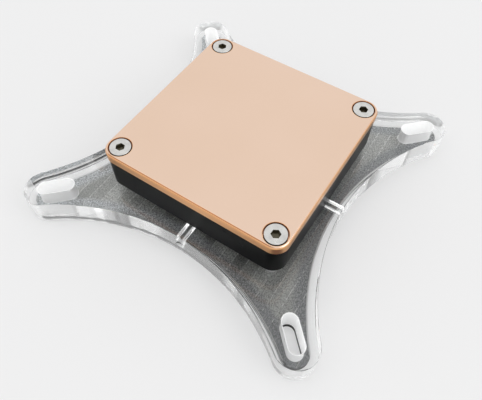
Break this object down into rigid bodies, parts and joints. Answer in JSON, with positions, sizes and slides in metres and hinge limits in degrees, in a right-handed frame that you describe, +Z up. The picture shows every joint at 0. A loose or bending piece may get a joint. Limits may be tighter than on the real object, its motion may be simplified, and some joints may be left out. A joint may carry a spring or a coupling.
{
  "type": "cpu water block",
  "caption": "Square copper and black processor water block on a clear four-armed bracket with slotted arms and a metal backing plate, lying port side down.",
  "frame": {"origin": "centre of the underside, on the surface that the block lies on", "axes": "+Z up out of the cold plate's polished face, +X along the line from one port to the other, X and Y along the sides of the square block, the four arms along the diagonals"},
  "size_m": [0.0924, 0.0924, 0.0218],
  "materials": {
    "copper": "lapped copper, bare",
    "seal": "smooth black rubber",
    "black_plastic": "satin machined acetal",
    "screw_steel": "bright stainless steel",
    "clear_acrylic": "clear, polished edges",
    "plate_steel": "bare rolled steel sheet"
  },
  "bodies": {
    "root": {"cold_plate": "copper", "seal_ring": "seal", "body": "black_plastic", "base_screws": "screw_steel", "clear_bracket": "clear_acrylic", "metal_plate": "plate_steel"}
  },
  "joints": []
}
